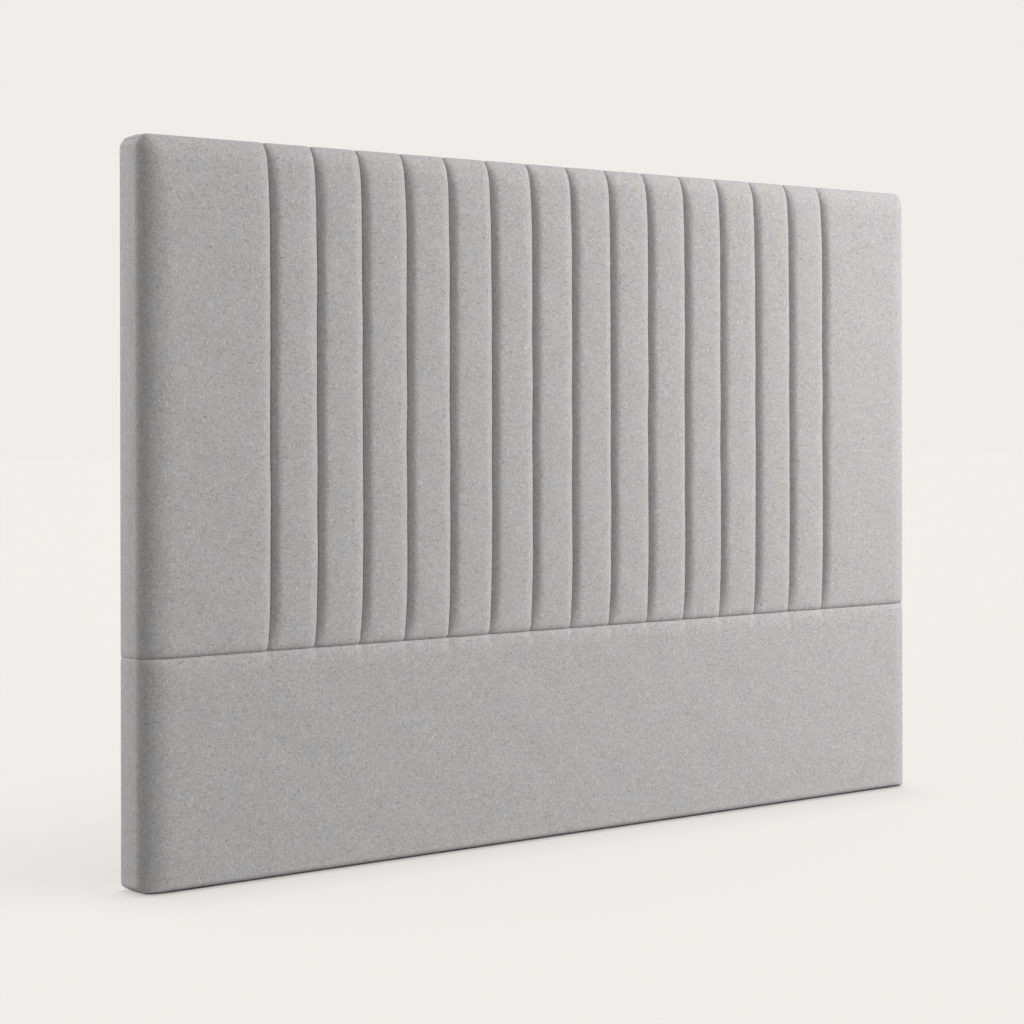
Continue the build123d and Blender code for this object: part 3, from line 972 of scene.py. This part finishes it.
def screw_set(name, node, places, from_below):
    """All the screws of a node as one piece, each turned by chance. Those from below are tipped
    over so that their faces look down."""
    points, quads = repeated(*screw(), places, random.uniform(0, np.pi / 2, len(places)))
    if from_below:
        points = np.stack([points[:, 0], points[:, 2], HEAD_PROUD - points[:, 1]], axis=-1)
    piece = make_mesh(name, points, quads)
    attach(piece, "root")
    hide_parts(node)
    return piece


plate_screws = screw_set("plate_screws", "hanger_screws", plate_screw_places(), False)
foot_screws = screw_set("foot_screws", "glide_screws", glide_screw_places(), True)
print("faces of the plate screws:", len(plate_screws.data.polygons))

# %% [markdown]
# ## Materials
# Each finish is a Principled shader fed by a few noise textures. They read Object coordinates,
# which here are real metres on the board, so a fleck of 3 mm is 3 mm on every panel. Small helpers
# keep the node lists short.

# %% Node helpers


def connect(tree, node, inputs):
    """Sets a node's inputs, by name or number, to values or to other nodes' outputs."""
    for key, value in inputs.items():
        if isinstance(value, bpy.types.NodeSocket):
            tree.links.new(value, node.inputs[key])
        else:
            node.inputs[key].default_value = value
    return node


def add(tree, kind, inputs, **settings):
    """A new node with its settings and its inputs."""
    node = tree.nodes.new("ShaderNode" + kind)
    for key, value in settings.items():
        setattr(node, key, value)
    return connect(tree, node, inputs)


def completed(material, inputs):
    """The material, with these inputs of its Principled shader set."""
    tree = material.node_tree
    connect(tree, tree.nodes["Principled BSDF"], inputs)
    return material


def new_finish(name, roughness, specular=0.5, metallic=0.0):
    """A material and its node tree, with what is the same all over the surface."""
    material = bpy.data.materials.new(name)
    material.use_nodes = True
    inputs = {"Roughness": roughness, "Specular IOR Level": specular, "Metallic": metallic}
    return completed(material, inputs), material.node_tree


def place_of(tree, stretch=(1, 1, 1)):
    """Object coordinates, multiplied by a stretch in each direction."""
    coordinates = add(tree, "TexCoord", {}).outputs["Object"]
    return add(tree, "Mapping", {"Vector": coordinates, "Scale": stretch}).outputs["Vector"]


def noise(tree, size, detail=2.0, stretch=(1, 1, 1), roughness=0.5):
    """Noise whose blots are about that size in metres."""
    inputs = {"Vector": place_of(tree, stretch), "Scale": 1 / size, "Detail": detail}
    inputs["Roughness"] = roughness
    return add(tree, "TexNoise", inputs).outputs["Fac"]


def ranged(tree, value, low, high, new_low, new_high, smooth=False):
    """A value brought from one range to another, and held there."""
    inputs = {"Value": value, "From Min": low, "From Max": high}
    inputs |= {"To Min": new_low, "To Max": new_high}
    kind = "SMOOTHSTEP" if smooth else "LINEAR"
    return add(tree, "MapRange", inputs, interpolation_type=kind).outputs["Result"]


def maths(tree, operation, *values):
    """One sum of the Math node."""
    return add(tree, "Math", dict(enumerate(values)), operation=operation).outputs[0]


def mixed(tree, share, first, second, blend="MIX"):
    """Two colours mixed by a share."""
    inputs = {0: share, 6: first, 7: second}
    return add(tree, "Mix", inputs, data_type="RGBA", blend_type=blend).outputs[2]


def shaded(tree, colour, shade):
    """A colour made lighter or darker by a number."""
    grey = add(tree, "CombineXYZ", {0: shade, 1: shade, 2: shade}).outputs[0]
    return mixed(tree, 1.0, colour, grey, "MULTIPLY")


def bumped(tree, height, distance, strength=1.0):
    """A normal that is tilted by a height in metres."""
    inputs = {"Height": height, "Distance": distance, "Strength": strength}
    return add(tree, "Bump", inputs).outputs["Normal"]


print("node helpers are ready")

# %% [markdown]
# ## The cover cloth
# The cloth is a soft melange: light and dark fibres spun together before weaving. From near, short
# flecks of 1 to 4 mm stand out where a noise is very high or very low. From further off there are
# clouds of about a centimetre, and wide faint patches that lean to a mauve grey or to a warm grey.
# Threads run both ways, so some noise is drawn out upright and some level. The same noise lifts the
# surface a little, and a sheen stands for the short fibres that catch the light.

# %% Cover cloth
CLOTH_COOL = (0.449, 0.441, 0.446, 1)
CLOTH_WARM = (0.454, 0.447, 0.434, 1)
PATCH_SIZE = 40 * MM
THREAD_SIZE = 1.5 * MM
CLOUD_SIZE = 11 * MM
CLOUD_SHADE = 0.18
FLECK_SIZE = 3.2 * MM
FLECK_START = 0.08
FLECK_FULL = 0.17
FLECK_SHADE = 0.19
FLECK_HEIGHT = 0.3
THREAD_HEIGHT = 0.35 * MM


def cloth_finish():
    """Patches between two greys, times threads, flecks and clouds. Threads and flecks also give
    the bump."""
    material, tree = new_finish("grey melange cloth", 0.92, specular=0.2)
    patches = ranged(tree, noise(tree, PATCH_SIZE, 1), 0.36, 0.64, 0, 1)
    base = mixed(tree, patches, CLOTH_COOL, CLOTH_WARM)
    warp = noise(tree, THREAD_SIZE, 2, (1, 1, 0.3))
    weft = noise(tree, THREAD_SIZE, 2, (0.3, 1, 1))
    threads = maths(tree, "ADD", warp, weft)
    upright = noise(tree, FLECK_SIZE, 2, (1, 1, 0.5))
    level = noise(tree, FLECK_SIZE, 2, (0.5, 1, 1))
    light = ranged(tree, upright, 0.5 + FLECK_START, 0.5 + FLECK_FULL, 0, 1, smooth=True)
    dark = ranged(tree, level, 0.5 - FLECK_START, 0.5 - FLECK_FULL, 0, 1, smooth=True)
    flecks = maths(tree, "SUBTRACT", light, dark)
    clouds = maths(tree, "SUBTRACT", noise(tree, CLOUD_SIZE, 2), 0.5)
    shade = ranged(tree, threads, 0.7, 1.3, 0.86, 1.14)
    shade = maths(tree, "MULTIPLY_ADD", flecks, FLECK_SHADE, shade)
    shade = maths(tree, "MULTIPLY_ADD", clouds, CLOUD_SHADE, shade)
    colour = shaded(tree, base, shade)
    height = maths(tree, "MULTIPLY_ADD", flecks, FLECK_HEIGHT, threads)
    inputs = {"Base Color": colour, "Normal": bumped(tree, height, THREAD_HEIGHT, 0.8)}
    return completed(material, inputs | {"Sheen Weight": 0.12, "Sheen Roughness": 0.5})


cloth = cloth_finish()
for piece in covers.values():
    piece.data.materials.append(cloth)
print("cloth nodes:", len(cloth.node_tree.nodes))

# %% [markdown]
# ## Foam, wadding and the dust cover
# Foam is a mass of tiny open cells, so a Voronoi pattern of 1 mm gives its pits, as a bump and as
# painted shade that darkens each pit. Wadding is a tangle of fibres: fine noises drawn out in two
# directions. The dust cover is a felt of black plastic fibres, pressed together in rows of small
# dots, which shows as a faint regular grid.

# %% Foam, wadding and dust cover
FOAM_CELL = 1.1 * MM
WADDING_FIBRE = 0.8 * MM
DUST_DOT_SPACING = 2.4 * MM


def foam_finish():
    """Cream, with painted shade in the pits at the cells' middles, a bump from the cell distance,
    and a slight yellowing in patches.
    """
    material, tree = new_finish("cream foam", 0.95, specular=0.2)
    cells = add(tree, "TexVoronoi", {"Vector": place_of(tree), "Scale": 1 / FOAM_CELL})
    aged = ranged(tree, noise(tree, 60 * MM, 3), 0.35, 0.65, 0, 1)
    base = mixed(tree, aged, (0.86, 0.82, 0.66, 1), (0.78, 0.7, 0.5, 1))
    # Painted shade: the colour darkens to three quarters towards the middle of each cell, where its
    # pit is.
    painted_pit_shade = ranged(tree, cells.outputs["Distance"], 0, 0.7, 0.75, 1)
    colour = shaded(tree, base, painted_pit_shade)
    normal = bumped(tree, cells.outputs["Distance"], 0.5 * MM)
    return completed(material, {"Base Color": colour, "Normal": normal})


def wadding_finish():
    """White fibres: two noises drawn out in different directions, light where they are high."""
    material, tree = new_finish("white wadding", 0.9, specular=0.3)
    first = noise(tree, WADDING_FIBRE, 3, (0.25, 1, 1))
    second = noise(tree, WADDING_FIBRE, 3, (1, 1, 0.25))
    fibres = maths(tree, "MAXIMUM", first, second)
    share = ranged(tree, fibres, 0.4, 0.7, 0, 1)
    colour = mixed(tree, share, (0.66, 0.66, 0.64, 1), (0.9, 0.9, 0.88, 1))
    normal = bumped(tree, fibres, 1.0 * MM)
    return completed(material, {"Base Color": colour, "Normal": normal, "Sheen Weight": 0.4})


def dust_finish():
    """Black fibres with pressed dots: a grid of sine waves, high only where both waves are."""
    material, tree = new_finish("black dust sheet", 0.62, specular=0.35)
    axes = add(tree, "SeparateXYZ", {"Vector": place_of(tree)})
    quickness = 2 * np.pi / DUST_DOT_SPACING
    waves = []
    for sign in (1.0, -1.0):
        diagonal = maths(tree, "MULTIPLY_ADD", axes.outputs["Z"], sign, axes.outputs["X"])
        waves.append(maths(tree, "SINE", maths(tree, "MULTIPLY", diagonal, quickness)))
    dots = ranged(tree, maths(tree, "MULTIPLY", *waves), 0.55, 0.9, 0, 1, smooth=True)
    fibres = noise(tree, 0.7 * MM, 3, roughness=0.6)
    share = maths(tree, "MULTIPLY_ADD", dots, -0.35, ranged(tree, fibres, 0.35, 0.65, 0.1, 0.9))
    colour = mixed(tree, share, (0.010, 0.010, 0.011, 1), (0.034, 0.034, 0.036, 1))
    inputs = {"Base Color": colour, "Roughness": ranged(tree, dots, 0, 1, 0.66, 0.42)}
    inputs["Normal"] = bumped(tree, maths(tree, "SUBTRACT", fibres, dots), 0.2 * MM)
    return completed(material, inputs)


soft_finishes = {"foam": foam_finish(), "wadding": wadding_finish(), "dust": dust_finish()}
for piece in pads.values():
    piece.data.materials.append(soft_finishes["foam"])
for piece in wadding:
    piece.data.materials.append(soft_finishes["wadding"])
dust_cover.data.materials.append(soft_finishes["dust"])
print("soft finishes:", sorted(soft_finishes))

# %% [markdown]
# ## Timber, board, metal and plastic
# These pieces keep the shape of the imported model, and only get a finish. Pine shows long bands of
# early and late wood along each length, so its noise is drawn out along that length: upright
# pieces and level pieces need a finish each. The thin board is pressed fibre. The steel is zinc
# plated, with faint spangles, and the glides are moulded with a fine grain.

# %% Timber, board, steel and plastic
GRAIN_STRETCH = 0.06
RING_SPACING = 6.5 * MM
SPANGLE_SIZE = 3 * MM


def pine_finish(name, along):
    """Late wood as narrow dark bands: a sine of the distance across the grain, bent by noise,
    plus fine pores drawn out along the grain."""
    material, tree = new_finish(name, 0.6, specular=0.3)
    stretch = tuple(GRAIN_STRETCH if axis == along else 1.0 for axis in range(3))
    axes = add(tree, "SeparateXYZ", {"Vector": place_of(tree, stretch)})
    bend = noise(tree, 45 * MM, 2, stretch)
    across = maths(tree, "MULTIPLY_ADD", bend, 0.05, axes.outputs[2 - along])
    across = maths(tree, "MULTIPLY_ADD", axes.outputs["Y"], 0.7, across)
    rings = maths(tree, "SINE", maths(tree, "MULTIPLY", across, 2 * np.pi / RING_SPACING))
    late = ranged(tree, rings, -0.2, 1, 0, 1, smooth=True)
    pores = noise(tree, 0.9 * MM, 3, stretch)
    base = mixed(tree, late, (0.62, 0.44, 0.25, 1), (0.42, 0.24, 0.1, 1))
    shade = ranged(tree, pores, 0.3, 0.7, 0.86, 1.1)
    inputs = {"Base Color": shaded(tree, base, shade)}
    inputs["Roughness"] = ranged(tree, late, 0, 1, 0.68, 0.5)
    height = maths(tree, "MULTIPLY_ADD", late, 0.4, pores)
    return completed(material, inputs | {"Normal": bumped(tree, height, 0.15 * MM)})


def hardboard_finish():
    """Pressed brown fibre: fine noise between two browns."""
    material, tree = new_finish("brown hardboard", 0.55, specular=0.35)
    fibres = noise(tree, 1.2 * MM, 4, roughness=0.65)
    share = ranged(tree, fibres, 0.3, 0.7, 0, 1)
    colour = mixed(tree, share, (0.14, 0.07, 0.032, 1), (0.3, 0.17, 0.08, 1))
    return completed(material, {"Base Color": colour, "Normal": bumped(tree, fibres, 0.08 * MM)})


def steel_finish(name, colour, tint):
    """Zinc: two close tones in angular spangles, with roughness that changes from one to the
    next, and fine scratches in the bump."""
    material, tree = new_finish(name, 0.35, metallic=1.0)
    spangles = add(tree, "TexVoronoi", {"Vector": place_of(tree), "Scale": 1 / SPANGLE_SIZE})
    pick = add(tree, "SeparateColor", {"Color": spangles.outputs["Color"]}).outputs["Red"]
    inputs = {"Base Color": mixed(tree, pick, colour, tint)}
    inputs["Roughness"] = ranged(tree, pick, 0, 1, 0.3, 0.46)
    scratches = noise(tree, 0.5 * MM, 2, (0.1, 1, 1))
    return completed(material, inputs | {"Normal": bumped(tree, scratches, 0.02 * MM)})


def glide_finish():
    """Black plastic with a moulded grain, and grey scuffs where noise is high."""
    material, tree = new_finish("black moulded plastic", 0.5)
    scuffs = ranged(tree, noise(tree, 7 * MM, 4, roughness=0.7), 0.58, 0.75, 0, 1)
    colour = mixed(tree, scuffs, (0.012, 0.012, 0.013, 1), (0.04, 0.04, 0.042, 1))
    inputs = {"Base Color": colour, "Roughness": ranged(tree, scuffs, 0, 1, 0.45, 0.62)}
    inputs["Normal"] = bumped(tree, noise(tree, 0.5 * MM, 2), 0.05 * MM)
    return completed(material, inputs)


upright_pine = pine_finish("upright pine", 2)
level_pine = pine_finish("level pine", 0)
hardboard = hardboard_finish()
zinc = steel_finish("zinc plate", (0.6, 0.61, 0.63, 1), (0.7, 0.71, 0.72, 1))
yellow_zinc = steel_finish("yellow zinc", (0.66, 0.58, 0.36, 1), (0.72, 0.66, 0.46, 1))
staple_wire = steel_finish("staple wire", (0.58, 0.59, 0.6, 1), (0.66, 0.67, 0.68, 1))
moulded = glide_finish()
print("finishes:", len(bpy.data.materials))

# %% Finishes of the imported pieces
UPRIGHTS = ["left_stile", "right_stile", "inner_stile_left", "inner_stile_right"]
UPRIGHTS += ["hanger_block_left", "hanger_block_right"]
LEVELS = ["bottom_rail", "top_rail", "cross_rail_left", "cross_rail_centre", "cross_rail_right"]
LEVELS += ["corner_block_left", "corner_block_right"]


def set_finish(piece, material):
    """Puts the material in all slots of the piece, or in a new slot if it has none."""
    if not piece.material_slots:
        piece.data.materials.append(material)
    for place in piece.material_slots:
        place.material = material


HARD_FINISHES = (
    (UPRIGHTS, upright_pine),
    (LEVELS, level_pine),
    (["front_panel"], hardboard),
    (["hanger_plate_left", "hanger_plate_right"], zinc),
    (["frame_screws", plate_screws.name, foot_screws.name], yellow_zinc),
    ([staples.name], staple_wire),
    (["floor_glides"], moulded),
)
for names, material in HARD_FINISHES:
    for name in names:
        set_finish(bpy.data.objects[name], material)
print("hard pieces with a finish:", sum(len(names) for names, _ in HARD_FINISHES))

# %% [markdown]
# ## Floor and light
# The picture was lit by one large soft light from the right front, higher than the board, which
# shades the left side of every channel, and by a weaker one from the left behind it. The floor and
# the background are one even pale tone, with only a thin shadow at the board's foot. So the floor
# gets lights of its own, and the two lamps leave it out through light linking. Its main light comes
# from behind the camera, so that the shadow falls out of sight behind the board. A weak one from
# almost straight above, and a little behind, gives the soft shadow at the foot. A third, weak and
# very soft, from the right front gives the faint shade on the floor to the left of the board.

# %% Sky
BACKGROUND = np.array([0.866, 0.852, 0.820])
SKY_HIGH = 0.76
SKY_LOW = 0.08
SKY_COLOUR = (1, 0.995, 0.99, 1)


def make_sky():
    """Light from all around, stronger from above, in a straight line with height. The camera
    sees the plain background instead."""
    world = bpy.data.worlds.new("studio")
    bpy.context.scene.world = world
    world.use_nodes = True
    tree = world.node_tree
    around = tree.nodes["Background"]
    direction = add(tree, "TexCoord", {}).outputs["Generated"]
    height = add(tree, "SeparateXYZ", {"Vector": direction}).outputs["Z"]
    strength = ranged(tree, height, -1, 1, SKY_LOW, SKY_HIGH)
    connect(tree, around, {"Color": SKY_COLOUR, "Strength": strength})
    plain = add(tree, "Background", {"Color": (*BACKGROUND, 1), "Strength": 1.0})
    seen = add(tree, "LightPath", {}).outputs["Is Camera Ray"]
    mix = add(tree, "MixShader", {0: seen, 1: around.outputs[0], 2: plain.outputs[0]})
    connect(tree, tree.nodes["World Output"], {"Surface": mix.outputs[0]})


make_sky()
print("sky from", SKY_LOW, "to", SKY_HIGH)

# %% Floor
FLOOR_PALE = 0.36
FLOOR_LIFT = 1.015
FLOOR_HALF = 30
# The sky's strength at the horizon, plus two thirds of what it gains from there to straight above:
# that is its mean over the sky as the level floor receives it.
SKY_ON_FLOOR = (SKY_HIGH + SKY_LOW) / 2 + (SKY_HIGH - SKY_LOW) / 3


def make_floor():
    """A wide square at height zero, matt, of one pale tone. Bounced light passes it by, so that
    its tone doesn't change the light on the board."""
    corners = np.array([[-1, -1, 0], [1, -1, 0], [1, 1, 0], [-1, 1, 0]]) * FLOOR_HALF
    floor = make_mesh("floor", corners, np.array([[0, 1, 2, 3]]))
    material, _ = new_finish("studio floor", 1.0, specular=0.0)
    tone = BACKGROUND / BACKGROUND[0] * FLOOR_PALE
    floor.data.materials.append(completed(material, {"Base Color": (*tone, 1)}))
    floor.visible_diffuse = False
    return floor


floor = make_floor()
print("floor tone:", FLOOR_PALE)

# %% Lights on the floor alone
# A name, a share of the light that the floor still needs beyond the sky's, and in degrees the
# height, the turn and the softness.
FLOOR_LIGHTS = (
    ("floor light", 0.76, 18, -np.degrees(CAMERA_TURN), 12),
    ("light from above", 0.14, 86, 150, 8),
    ("light from the right", 0.10, 58, 60, 40),
)
FLOOR_NEEDS = FLOOR_LIFT * BACKGROUND[0] / FLOOR_PALE - SKY_ON_FLOOR


def make_light(name, kind, power, place, rotation, floor_state):
    """A light that either lights the floor alone or leaves out the floor alone."""
    light = bpy.data.lights.new(name, kind)
    light.energy = power
    lamp = bpy.data.objects.new(name, light)
    lamp.location = place
    lamp.rotation_euler = rotation
    bpy.context.scene.collection.objects.link(lamp)
    linked = bpy.data.collections.new(name + " linking")
    linked.objects.link(floor)
    linked.collection_objects[0].light_linking.link_state = floor_state
    lamp.light_linking.receiver_collection = linked
    return light


for name, share, height, turn, softness in FLOOR_LIGHTS:
    power = share * FLOOR_NEEDS * np.pi / np.sin(np.radians(height))
    rotation = (np.radians(90 - height), 0, np.radians(turn))
    light = make_light(name, "SUN", power, (0, 0, 0), rotation, "INCLUDE")
    light.angle = np.radians(softness)
print("lights on the floor:", len(FLOOR_LIGHTS))

# %% Lamps on the board
AIM = Vector((0, 0, 0.6))
KEY_TURN = np.radians(46)
KEY_HEIGHT = np.radians(20)
KEY_DISTANCE = 4.1
KEY_LEVEL = KEY_DISTANCE * np.cos(KEY_HEIGHT)
KEY_PLACE = AIM + Vector(
    (KEY_LEVEL * np.cos(KEY_TURN), -KEY_LEVEL * np.sin(KEY_TURN), KEY_DISTANCE * np.sin(KEY_HEIGHT))
)
FILL_PLACE = Vector((-2.2, 2.5, 1.5))
# A name, a place, a power and the side of the square lamp. All point at the middle of the board.
LAMPS = (("key light", KEY_PLACE, 143, 1.5), ("fill light", FILL_PLACE, 70, 1.4))

for name, place, power, side in LAMPS:
    rotation = (AIM - place).to_track_quat("-Z", "Y").to_euler()
    light = make_light(name, "AREA", power, place, rotation, "EXCLUDE")
    light.size = side
bpy.context.scene.view_settings.view_transform = "Standard"
print("key light at", [round(v, 2) for v in KEY_PLACE])
